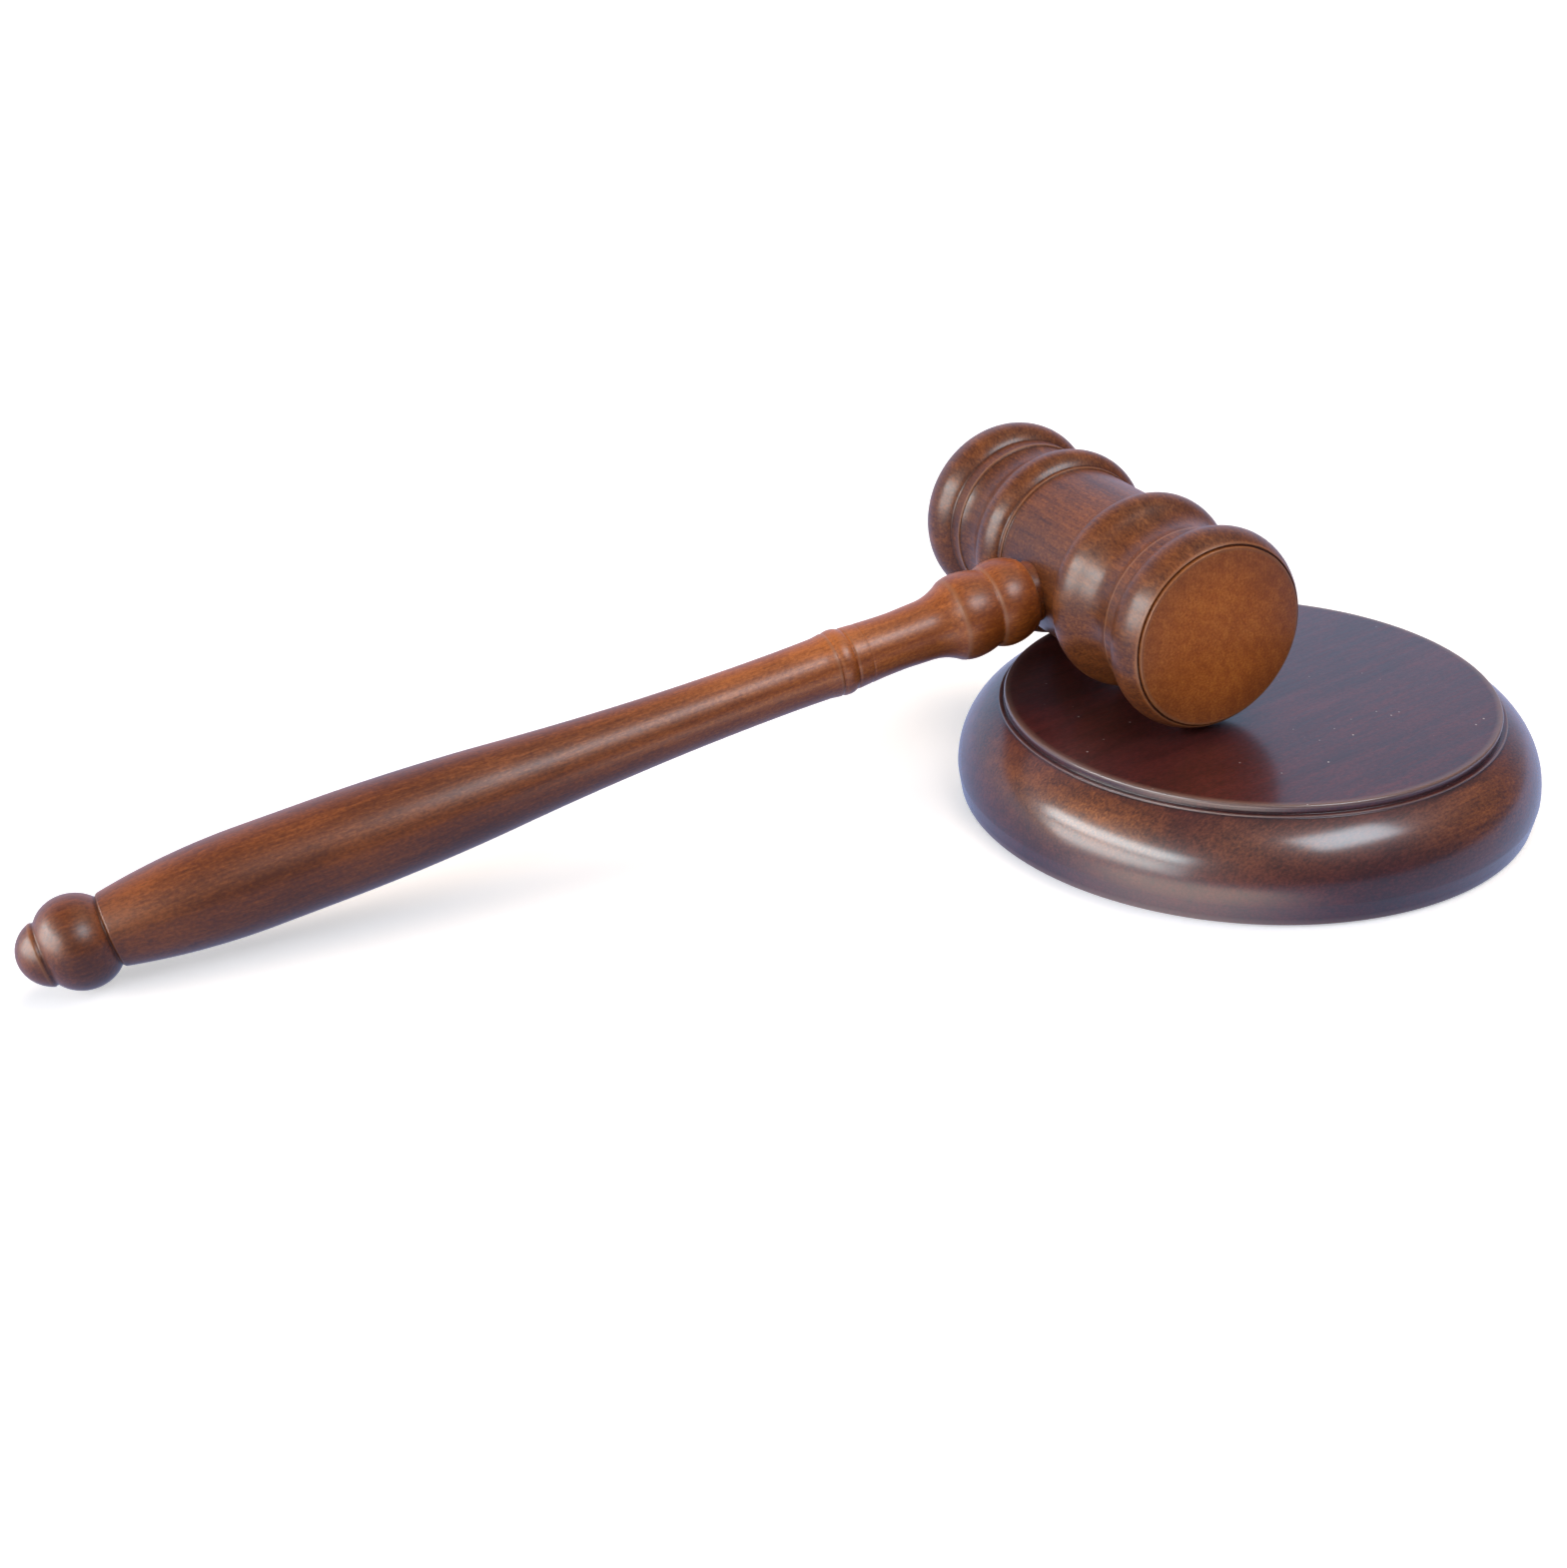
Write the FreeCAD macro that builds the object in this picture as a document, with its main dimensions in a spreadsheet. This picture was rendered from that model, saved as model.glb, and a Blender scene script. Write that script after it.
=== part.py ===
"""Gavel and sound block, turned in hardwood, in millimetres.

The set stands as it does on a bench: the block flat on its felt, the gavel's head lying across the block's
platform and the end of its handle on the table.

Frame: origin at the centre of the felt's underside, +Z up. The head's axis lies along Y, its handle runs
towards -X and down to the table.
"""

import FreeCAD, Part
import math
import os
import re

import Sketcher

FOLDER = "parts"
SIZES = {
    "block": {
        "block_radius": 52.5,
        "block_top": 18.2,
        "rim_widest": 4.2,
        "base_radius": 51.9,
        "platform_radius": 44.2,
        "platform_step": 1.5,
        "arris_width": 0.4,
        "ledge_width": 0.9,
        "ledge_drop": 0.3,
    },
    "felt": {
        "felt_radius": 40.0,
        "felt_thick": 1.5,
        "felt_proud": 0.5,
        "felt_gap": 0.2,
    },
    "head": {
        "barrel_radius": 15.3,
        "barrel_half": 9.7,
        "barrel_fillet_width": 0.8,
        "barrel_fillet_rise": 0.35,
        "bead_run": 3.5,
        "bead_rise": 2.45,
        "bead_share": 0.42,
        "cove_run": 8.8,
        "cove_depth": 3.25,
        "cove_end_run": 3.5,
        "cove_end_rise": 0.7,
        "ring_fillet_width": 3.0,
        "ring_fillet_rise": 1.0,
        "ring_run": 4.1,
        "ring_fall_run": 4.5,
        "ring_fall": 1.65,
        "face_groove_width": 0.35,
        "face_groove_depth": 0.5,
        "face_proud": 1.6,
        "face_bevel_width": 1.35,
        "face_bevel_run": 1.2,
    },
    "handle": {
        "tenon_radius": 4.75,
        "tenon_past_axis": 4.0,
        "tenon_chamfer": 0.6,
        "bore_gap": 0.05,
        "bore_end_room": 1.0,
        "neck_radius": 5.6,
        "seat_gap": 0.15,
        "seat_cut": 0.3,
        "neck_run": 1.1,
        "collar_radius": 6.6,
        "collar_run": 4.8,
        "collar_crest_radius": 7.95,
        "collar_fall_run": 2.6,
        "collar_end_radius": 7.35,
        "collar_quirk_width": 0.4,
        "collar_quirk_depth": 0.3,
        "bulb_run": 4.4,
        "bulb_radius": 7.85,
        "bulb_fall_run": 2.7,
        "bulb_end_radius": 7.35,
        "flare_run": 6.2,
        "flare_end_radius": 5.4,
        "shaft_run": 4.5,
        "shaft_radius": 5.2,
        "scribe_run": 7.1,
        "scribe_radius": 5.43,
        "scribe_width": 0.3,
        "scribe_depth": 0.12,
        "small_ring_gap": 2.5,
        "small_ring_start_radius": 5.6,
        "small_ring_quirk_width": 0.5,
        "small_ring_quirk_depth": 0.2,
        "small_ring_run": 1.4,
        "small_ring_radius": 5.95,
        "small_ring_fall_run": 1.1,
        "small_ring_end_radius": 5.78,
        "small_ring_lip_width": 1.8,
        "slim_start_radius": 5.52,
        "slim_run": 9.8,
        "slim_radius": 5.38,
        "swell_run": 79.0,
        "swell_share": 0.61,
        "grip_run": 11.0,
        "grip_radius": 8.5,
        "grip_fall_run": 22.85,
        "grip_end_radius": 6.1,
        "ball_quirk_width": 0.3,
        "ball_quirk_depth": 0.5,
        "ball_run": 4.65,
        "ball_radius": 7.7,
        "ball_fall_run": 4.4,
        "ball_end_radius": 5.8,
        "button_quirk_width": 1.1,
        "button_quirk_radius": 5.1,
        "button_radius": 5.3,
        "button_run": 3.7,
    },
    "resting place": {
        "head_left": 16.0,
        "head_back": 26.4,
        "rest_gap": 0.05,
        "overrun": 5.0,
    },
}

doc = FreeCAD.newDocument("GavelAndSoundBlock")
sheet = doc.addObject("Spreadsheet::Sheet", "Sizes")
aliases = set()
row = 1
for title, sizes in SIZES.items():
    sheet.set(f"A{row}", title)
    row += 1
    for alias, value in sizes.items():
        sheet.set(f"A{row}", alias)
        sheet.set(f"B{row}", str(value))
        sheet.setAlias(f"B{row}", alias)
        aliases.add(alias)
        row += 1
doc.recompute()


def tie(formula):
    """The formula with each size's alias led by the sheet's name, as expressions want it."""
    return re.sub(r"[a-z_]+", lambda word: f"Sizes.{word[0]}" if word[0] in aliases else word[0], formula)


def measure(formula):
    """The formula's value now, in millimetres."""
    return float(sheet.evalExpression(tie(formula)))


def origin_plane(body, role):
    """One of the body's own three origin planes."""
    return next(plane for plane in body.Origin.OriginFeatures if plane.Role == role)


def new_sketch(body, name, role, offset=None):
    """Sketch on an origin plane of the body, moved along the plane's normal by a formula."""
    sketch = body.newObject("Sketcher::SketchObject", name)
    sketch.AttachmentSupport = (origin_plane(body, role), [""])
    sketch.MapMode = "FlatFace"
    if offset:
        sketch.setExpression("AttachmentOffset.Base.z", tie(offset))
    return sketch


def hold(sketch, kind, elements, formula, name):
    """Add a dimension to the sketch and bind it to its formula."""
    index = sketch.addConstraint(Sketcher.Constraint(kind, *elements, measure(formula)))
    sketch.renameConstraint(index, name)
    sketch.setExpression(f"Constraints.{name}", tie(formula))


def place(sketch, edge, end, formulas, name):
    """Fix one end of an edge by its two distances from the sketch's origin."""
    axes = {"x": ("DistanceX", -2), "y": ("DistanceY", -1)}
    for letter, formula in zip("xy", formulas):
        kind, axis = axes[letter]
        if formula == "0":
            sketch.addConstraint(Sketcher.Constraint("PointOnObject", edge, end, axis))
        else:
            hold(sketch, kind, (-1, 1, edge, end), formula, f"{name}_{letter}")


def arc_between(start, end, square_to_x, pivot):
    """Arc from start to end whose centre lies level with the pivot end, or straight above or below it.

    Returns the arc and whether it runs from start to end anticlockwise.
    """
    span = end - start
    other = span if pivot is start else -span
    if square_to_x:
        reach = other.Length ** 2 / (2 * other.x)
        centre = pivot + FreeCAD.Vector(reach, 0, 0)
    else:
        reach = other.Length ** 2 / (2 * other.y)
        centre = pivot + FreeCAD.Vector(0, reach, 0)
    first, last = start - centre, end - centre
    forward = first.cross(last).z > 0
    low, high = (first, last) if forward else (last, first)
    low_angle, high_angle = math.atan2(low.y, low.x), math.atan2(high.y, high.x)
    if high_angle < low_angle:
        high_angle += 2 * math.pi
    circle = Part.Circle(centre, FreeCAD.Vector(0, 0, 1), abs(reach))
    return Part.ArcOfCircle(circle, low_angle, high_angle), forward


def turned_profile(body, name, role, axis, stations):
    """Closed half profile of a turned piece, in a sketch of the body.

    A station is (along, radius, curve): its place along the turning axis and its radius, as formulas, and the
    curve that leads on from it. The curve is "line", or an arc that runs level with the turning axis or square
    to it at its first or its last end: "level first", "level last", "square first" or "square last".
    The axis is "H" where the piece is turned about the sketch's X axis, "V" about its Y axis.
    """
    sketch = new_sketch(body, name, role)
    formulas = [(along, radius) if axis == "H" else (radius, along) for along, radius, _ in stations]
    points = [FreeCAD.Vector(measure(x), measure(y), 0) for x, y in formulas]
    ends = []
    for number, (_, _, curve) in enumerate(stations):
        start, end = points[number], points[(number + 1) % len(points)]
        if curve == "line":
            edge = sketch.addGeometry(Part.LineSegment(start, end), False)
            ends.append((edge, 1, 2))
            continue
        direction, which = curve.split()
        square_to_x = (direction == "level") == (axis == "V")
        arc, forward = arc_between(start, end, square_to_x, start if which == "first" else end)
        edge = sketch.addGeometry(arc, False)
        ends.append((edge, 1, 2) if forward else (edge, 2, 1))
    for number, (edge, first, last) in enumerate(ends):
        place(sketch, edge, first, formulas[number], f"station{number}")
        next_edge, next_first, _ = ends[(number + 1) % len(ends)]
        sketch.addConstraint(Sketcher.Constraint("Coincident", edge, last, next_edge, next_first))
        curve = stations[number][2]
        if curve != "line":
            direction, which = curve.split()
            kind = "Horizontal" if (direction == "level") == (axis == "V") else "Vertical"
            pivot = first if which == "first" else last
            sketch.addConstraint(Sketcher.Constraint(kind, edge, 3, edge, pivot))
    return sketch


def new_body(label):
    """Body for one piece, named as its file is."""
    body = doc.addObject("PartDesign::Body", label)
    body.Label = label
    return body


def turn(body, profile, axis):
    """Turn the profile right round its axis."""
    turned = body.newObject("PartDesign::Revolution", f"{body.Label}_turned")
    turned.Profile = profile
    turned.ReferenceAxis = (profile, [f"{axis}_Axis"])
    turned.Angle = 360
    profile.Visibility = False
    return turned


def round_sketch(body, name, role, radius, offset=None):
    """Circle about the sketch's origin."""
    sketch = new_sketch(body, name, role, offset)
    circle = Part.Circle(FreeCAD.Vector(), FreeCAD.Vector(0, 0, 1), measure(radius))
    edge = sketch.addGeometry(circle, False)
    sketch.addConstraint(Sketcher.Constraint("Coincident", edge, 3, -1, 1))
    hold(sketch, "Radius", (edge,), radius, "round_radius")
    return sketch


def extrude(body, kind, name, sketch, length, away=False):
    """Pad or pocket a sketch by a formula."""
    feature = body.newObject(f"PartDesign::{kind}", name)
    feature.Profile = sketch
    feature.Reversed = away
    feature.setExpression("Length", tie(length))
    return feature


def make_sound_block():
    """Disc turned from the flat: platform, step, ledge, broad rim and a recess for the felt."""
    wall_foot = "(block_top - platform_step)"
    rim_start = "(platform_radius + ledge_width)"
    body = new_body("sound_block")
    profile = turned_profile(body, "block_profile", "XZ_Plane", "V", [
        ("felt_thick", "0", "line"),
        ("felt_thick", "felt_radius + felt_gap", "line"),
        ("felt_proud", "felt_radius + felt_gap", "line"),
        ("felt_proud", "base_radius", "line"),
        ("rim_widest", "block_radius", "level first"),
        (f"{wall_foot} - ledge_drop", rim_start, "line"),
        (wall_foot, rim_start, "line"),
        (wall_foot, "platform_radius", "line"),
        ("block_top - arris_width", "platform_radius", "line"),
        ("block_top", "platform_radius - arris_width", "line"),
        ("block_top", "0", "line"),
    ])
    turn(body, profile, "V")
    return body


def make_felt_pad():
    """Felt disc in the block's recess, standing a little proud of the wood."""
    body = new_body("felt_pad")
    outline = round_sketch(body, "felt_outline", "XY_Plane", "felt_radius")
    extrude(body, "Pad", "felt_disc", outline, "felt_thick")
    return body


def middle(first, last, share):
    """Point a share of the way from one (along, radius) to the next, where a crest turns into a hollow."""
    return tuple(f"({start} + ({end} - {start}) * {share})" for start, end in zip(first, last))


def places_along(start, runs):
    """Places along a turning axis, as formulas. Each lies its own run beyond the place before it."""
    places = {}
    for name, run in runs.items():
        start = f"({start} + {run})"
        places[name] = start
    return places


HEAD_RADIUS = "(barrel_radius + bead_rise)"
HEAD_PLACES = places_along("barrel_half", {
    "fillet end": "barrel_fillet_width",
    "bead crest": "bead_run",
    "cove": "cove_run",
    "ring fillet": "cove_end_run",
    "ring foot": "ring_fillet_width",
    "ring crest": "ring_run",
    "ring edge": "ring_fall_run",
    "face": "face_proud",
})
HANDLE_PLACES = places_along("barrel_radius", {
    "neck end": "neck_run",
    "collar crest": "collar_run",
    "collar end": "collar_fall_run",
    "bulb start": "collar_quirk_width",
    "bulb crest": "bulb_run",
    "bulb end": "bulb_fall_run",
    "flare end": "flare_run",
    "shaft slimmest": "shaft_run",
    "scribe": "scribe_run",
    "scribe middle": "scribe_width / 2",
    "scribe end": "scribe_width / 2",
    "ring start": "small_ring_gap",
    "ring quirk": "small_ring_quirk_width / 2",
    "ring foot": "small_ring_quirk_width / 2",
    "ring crest": "small_ring_run",
    "ring fall": "small_ring_fall_run",
    "ring far quirk": "small_ring_quirk_width / 2",
    "ring end": "small_ring_quirk_width / 2",
    "slim start": "small_ring_lip_width",
    "slimmest": "slim_run",
    "grip start": "swell_run",
    "grip end": "grip_run",
    "grip neck": "grip_fall_run",
    "ball start": "ball_quirk_width",
    "ball crest": "ball_run",
    "ball end": "ball_fall_run",
    "button quirk": "button_quirk_width / 2",
    "button start": "button_quirk_width / 2",
    "handle end": "button_run",
})
SEAT_RADIUS = "(neck_radius + seat_gap)"
SEAT = f"(sqrt(barrel_radius ^ 2 - {SEAT_RADIUS} ^ 2) - seat_cut)"


def make_gavel_head():
    """One half turned and mirrored, then spot-faced and bored for the handle along +X."""
    at = HEAD_PLACES
    barrel_fillet = "(barrel_radius + barrel_fillet_rise)"
    cove_radius = f"({HEAD_RADIUS} - cove_depth)"
    ring_fillet = f"({cove_radius} + ring_fillet_rise)"
    ring_edge_radius = f"({HEAD_RADIUS} - ring_fall)"
    groove_radius = f"({ring_edge_radius} - face_groove_width)"
    groove_bottom = f"({at['ring edge']} - face_groove_depth)"
    body = new_body("gavel_head")
    turning = middle((at["bead crest"], HEAD_RADIUS), (at["cove"], cove_radius), "bead_share")
    profile = turned_profile(body, "half_head_profile", "XY_Plane", "V", [
        ("0", "0", "line"),
        ("0", "barrel_radius", "line"),
        ("barrel_half", "barrel_radius", "line"),
        ("barrel_half", barrel_fillet, "line"),
        (at["fillet end"], barrel_fillet, "level last"),
        (at["bead crest"], HEAD_RADIUS, "level first"),
        (*turning, "level last"),
        (at["cove"], cove_radius, "line"),
        (at["ring fillet"], f"{cove_radius} + cove_end_rise", "line"),
        (at["ring fillet"], ring_fillet, "line"),
        (at["ring foot"], ring_fillet, "level last"),
        (at["ring crest"], HEAD_RADIUS, "level first"),
        (at["ring edge"], ring_edge_radius, "line"),
        (groove_bottom, ring_edge_radius, "line"),
        (groove_bottom, groove_radius, "line"),
        (f"{at['face']} - face_bevel_run", groove_radius, "line"),
        (at["face"], f"{groove_radius} - face_bevel_width", "line"),
        (at["face"], "0", "line"),
    ])
    half = turn(body, profile, "V")
    whole = body.newObject("PartDesign::Mirrored", "both_ends")
    whole.Originals = [half]
    whole.MirrorPlane = (origin_plane(body, "XZ_Plane"), [""])
    body.Tip = whole
    outside = "barrel_radius + overrun"
    spot = round_sketch(body, "seat_outline", "YZ_Plane", SEAT_RADIUS, outside)
    extrude(body, "Pocket", "handle_seat", spot, f"{outside} - {SEAT}")
    bore = round_sketch(body, "bore_outline", "YZ_Plane", "tenon_radius + bore_gap", outside)
    extrude(body, "Pocket", "handle_bore", bore, f"{outside} + tenon_past_axis + bore_end_room")
    return body


def make_gavel_handle():
    """Turned from the shoulder that meets the head to the button, with a tenon behind the shoulder."""
    at = HANDLE_PLACES
    body = new_body("gavel_handle")
    turning = middle((at["slimmest"], "slim_radius"), (at["grip start"], "grip_radius"), "swell_share")
    profile = turned_profile(body, "handle_profile", "XY_Plane", "H", [
        (SEAT, "0", "line"),
        (SEAT, "neck_radius", "line"),
        (at["neck end"], "neck_radius", "line"),
        (at["neck end"], "collar_radius", "level last"),
        (at["collar crest"], "collar_crest_radius", "level first"),
        (at["collar end"], "collar_end_radius", "line"),
        (at["bulb start"], "collar_end_radius - collar_quirk_depth", "level last"),
        (at["bulb crest"], "bulb_radius", "level first"),
        (at["bulb end"], "bulb_end_radius", "level last"),
        (at["flare end"], "flare_end_radius", "line"),
        (at["shaft slimmest"], "shaft_radius", "level first"),
        (at["scribe"], "scribe_radius", "line"),
        (at["scribe middle"], "scribe_radius - scribe_depth", "line"),
        (at["scribe end"], "scribe_radius", "line"),
        (at["ring start"], "small_ring_start_radius", "line"),
        (at["ring quirk"], "small_ring_start_radius - small_ring_quirk_depth", "line"),
        (at["ring foot"], "small_ring_start_radius", "level last"),
        (at["ring crest"], "small_ring_radius", "level first"),
        (at["ring fall"], "small_ring_end_radius", "line"),
        (at["ring far quirk"], "small_ring_end_radius - small_ring_quirk_depth", "line"),
        (at["ring end"], "small_ring_end_radius", "line"),
        (at["slim start"], "slim_start_radius", "level last"),
        (at["slimmest"], "slim_radius", "level first"),
        (*turning, "level last"),
        (at["grip start"], "grip_radius", "line"),
        (at["grip end"], "grip_radius", "level first"),
        (at["grip neck"], "grip_end_radius", "line"),
        (at["ball start"], "grip_end_radius - ball_quirk_depth", "level last"),
        (at["ball crest"], "ball_radius", "level first"),
        (at["ball end"], "ball_end_radius", "line"),
        (at["button quirk"], "button_quirk_radius", "line"),
        (at["button start"], "button_radius", "square last"),
        (at["handle end"], "0", "line"),
    ])
    turn(body, profile, "H")
    stub = round_sketch(body, "tenon_outline", "YZ_Plane", "tenon_radius", SEAT)
    tenon = extrude(body, "Pad", "tenon", stub, f"{SEAT} + tenon_past_axis", away=True)
    doc.recompute()
    tip = min(range(len(tenon.Shape.Edges)), key=lambda index: tenon.Shape.Edges[index].BoundBox.XMax)
    chamfer = body.newObject("PartDesign::Chamfer", "tenon_lead_in")
    chamfer.Base = (tenon, [f"Edge{tip + 1}"])
    chamfer.setExpression("Size", tie("tenon_chamfer"))
    return body


def lay_gavel(pieces):
    """Lay the gavel across the platform, tilted about the head's axis until its ball meets the table."""
    ball_crest = HANDLE_PLACES["ball crest"]
    height = f"block_top + {HEAD_RADIUS} + rest_gap"
    drop = "(ball_radius - ball_end_radius)"
    ball_round = f"(ball_fall_run ^ 2 + {drop} ^ 2) / (2 * {drop})"
    core = f"(ball_radius - {ball_round})"
    fall = f"({height} - {ball_round} - rest_gap)"
    tilt = f"asin({fall} / sqrt({ball_crest} ^ 2 + {core} ^ 2)) - atan({core} / {ball_crest})"
    for piece in pieces:
        piece.Placement = FreeCAD.Placement(FreeCAD.Vector(), FreeCAD.Rotation(FreeCAD.Vector(0, 1, 0), 180))
        piece.setExpression("Placement.Base.x", tie("-head_left"))
        piece.setExpression("Placement.Base.y", tie("head_back"))
        piece.setExpression("Placement.Base.z", tie(height))
        piece.setExpression("Placement.Rotation.Angle", f"180 deg - ({tie(tilt)})")


def check(pieces):
    """Stop on any failed feature or empty or broken shape."""
    failed = [item.Name for item in doc.Objects if {"Invalid", "Error"} & set(item.State)]
    if failed:
        raise RuntimeError(f"failed: {failed}")
    for piece in pieces:
        if piece.Shape.isNull() or not piece.Shape.isValid():
            raise RuntimeError(f"no sound shape: {piece.Label}")


pieces = [make_sound_block(), make_felt_pad(), make_gavel_head(), make_gavel_handle()]
lay_gavel(pieces[2:])
doc.recompute()
check(pieces)
os.makedirs(FOLDER, exist_ok=True)
for piece in pieces:
    piece.Shape.exportStep(f"{FOLDER}/{piece.Label}.step")
    box = piece.Shape.optimalBoundingBox(False)
    print(f"{piece.Label}: {len(piece.Shape.Solids)} solid, {piece.Shape.Volume:.1f} mm3, "
          f"x {box.XMin:.2f}..{box.XMax:.2f}, y {box.YMin:.2f}..{box.YMax:.2f}, z {box.ZMin:.2f}..{box.ZMax:.2f}")
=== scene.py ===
"""Gavel and sound block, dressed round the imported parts.

Turned, stained and lacquered hardwood on a pale table. The file follows the set as it is made: the sound
block, the felt under it, the gavel's head, its handle, and then the table, the light and the camera. Sizes of
the pieces and of their patterns are in millimetres, and those of the room are in metres.
"""

import math

import bpy
import numpy as np
from mathutils import Matrix, Vector


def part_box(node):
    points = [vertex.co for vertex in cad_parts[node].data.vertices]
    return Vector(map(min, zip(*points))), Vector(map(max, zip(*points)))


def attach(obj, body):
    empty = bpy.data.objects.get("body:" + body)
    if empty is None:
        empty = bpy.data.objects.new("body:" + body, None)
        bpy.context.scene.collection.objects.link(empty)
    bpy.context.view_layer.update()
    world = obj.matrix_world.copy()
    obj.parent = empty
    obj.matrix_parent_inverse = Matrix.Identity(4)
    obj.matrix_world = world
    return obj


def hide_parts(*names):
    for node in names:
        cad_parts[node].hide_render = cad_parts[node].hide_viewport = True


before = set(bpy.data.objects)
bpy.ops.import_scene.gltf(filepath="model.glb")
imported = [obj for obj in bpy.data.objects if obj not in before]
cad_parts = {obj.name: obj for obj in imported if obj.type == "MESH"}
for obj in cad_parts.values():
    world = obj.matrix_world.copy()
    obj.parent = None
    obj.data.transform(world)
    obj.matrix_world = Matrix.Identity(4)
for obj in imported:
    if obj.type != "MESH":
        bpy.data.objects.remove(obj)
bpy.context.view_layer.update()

# The sound block is a disc of close-grained hardwood, turned on a faceplate, stained black cherry and sprayed
# with satin lacquer. The flat platform stands on a short wall and a ledge above a broad rounded rim, and a
# shallow recess turned underneath takes the felt.

MM = 0.001
BLOCK_TOP = 18.2
PLATFORM_RADIUS = 44.2
ARRIS = 0.4
WALL_FOOT = 16.7
LEDGE = 45.1
RIM_TOP = 16.4
RIM_WIDEST, RIM_RADIUS = 4.2, 52.5
WOOD_FOOT, FOOT_RADIUS = 0.5, 51.9
RECESS_TOP, RECESS_RADIUS = 1.5, 40.2

# A station is (along, radius, curve): its place along the turning axis, its radius, and the curve that leads
# on from it. An arc runs level with the axis, or square to it, at its first or its last end.
block_stations = [
    (RECESS_TOP, 0.0, "line"),
    (RECESS_TOP, RECESS_RADIUS, "line"),
    (WOOD_FOOT, RECESS_RADIUS, "line"),
    (WOOD_FOOT, FOOT_RADIUS, "line"),
    (RIM_WIDEST, RIM_RADIUS, "level first"),
    (RIM_TOP, LEDGE, "line"),
    (WALL_FOOT, LEDGE, "line"),
    (WALL_FOOT, PLATFORM_RADIUS, "line"),
    (BLOCK_TOP - ARRIS, PLATFORM_RADIUS, "level first"),
    (BLOCK_TOP, PLATFORM_RADIUS - ARRIS, "line"),
    (BLOCK_TOP, 0.0, "end"),
]


def profile_line(stations):
    """Close points along a turned profile, as rows of (along, radius).

    A straight run is start + share x (end - start). An arc's centre lies beside its level or square end, at
    the chord's length squared over twice the chord's reach to that side, and its points are
    centre + radius x (cos angle, sin angle) for even steps of angle.
    """
    points_a_run = 129
    share = np.linspace(0, 1, points_a_run)[:, None]
    runs = []
    for here, there in zip(stations, stations[1:]):
        start, end = np.array(here[:2]), np.array(there[:2])
        if here[2] == "line":
            runs.append(start + share * (end - start))
            continue
        direction, which = here[2].split()
        pivot, other = (start, end) if which == "first" else (end, start)
        span = other - pivot
        side = 1 if direction == "level" else 0
        centre = pivot.copy()
        centre[side] += span @ span / (2 * span[side])
        first, last = start - centre, end - centre
        angle = math.atan2(first[1], first[0])
        sweep = (math.atan2(last[1], last[0]) - angle + math.pi) % (2 * math.pi) - math.pi
        turn = angle + sweep * share
        runs.append(centre + np.linalg.norm(first) * np.hstack([np.cos(turn), np.sin(turn)]))
    return np.vstack(runs)


def eased(line, ease):
    """The profile with its corners eased as sanding leaves them, and how far each point is a crest.

    The line is sampled evenly by length. Twice a running mean of the given length rounds each corner, with the
    ends held by mirroring the line through them. Crest is minus the turn of the heading per millimetre, meant
    over crest_span: above zero on a bead or an arris, below zero in a hollow. Points are then kept where the
    sum of heading change over most_turn and of length over most_length passes a whole number.
    """
    step = 0.03
    crest_span = 0.5
    most_turn = math.radians(4)
    most_length = 1.5
    length = np.concatenate([[0], np.cumsum(np.linalg.norm(np.diff(line, axis=0), axis=1))])
    places = np.arange(0, length[-1], step)
    even = np.stack([np.interp(places, length, column) for column in line.T])

    def running_mean(rows, width):
        half = int(width / step / 2)
        padded = np.pad(rows, ((0, 0), (half, half)), mode="reflect", reflect_type="odd")
        total = np.cumsum(np.pad(padded, ((0, 0), (1, 0))), axis=1)
        return (total[:, 2 * half + 1:] - total[:, :-2 * half - 1]) / (2 * half + 1)

    soft = running_mean(running_mean(even, ease), ease)
    heading = np.unwrap(np.arctan2(*np.gradient(soft, axis=1)[::-1]))
    bend = np.gradient(heading)
    crest = -running_mean(bend[None] / step, crest_span)[0]
    count = np.cumsum(np.abs(bend) / most_turn + step / most_length)
    kept = np.interp(np.linspace(count[0], count[-1], int(count[-1])), count, np.arange(len(count)))
    along, radius, crest = (np.interp(kept, np.arange(len(count)), row) for row in (*soft, crest))
    return along, np.maximum(radius, 0), np.clip(crest, -1, 1)


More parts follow.
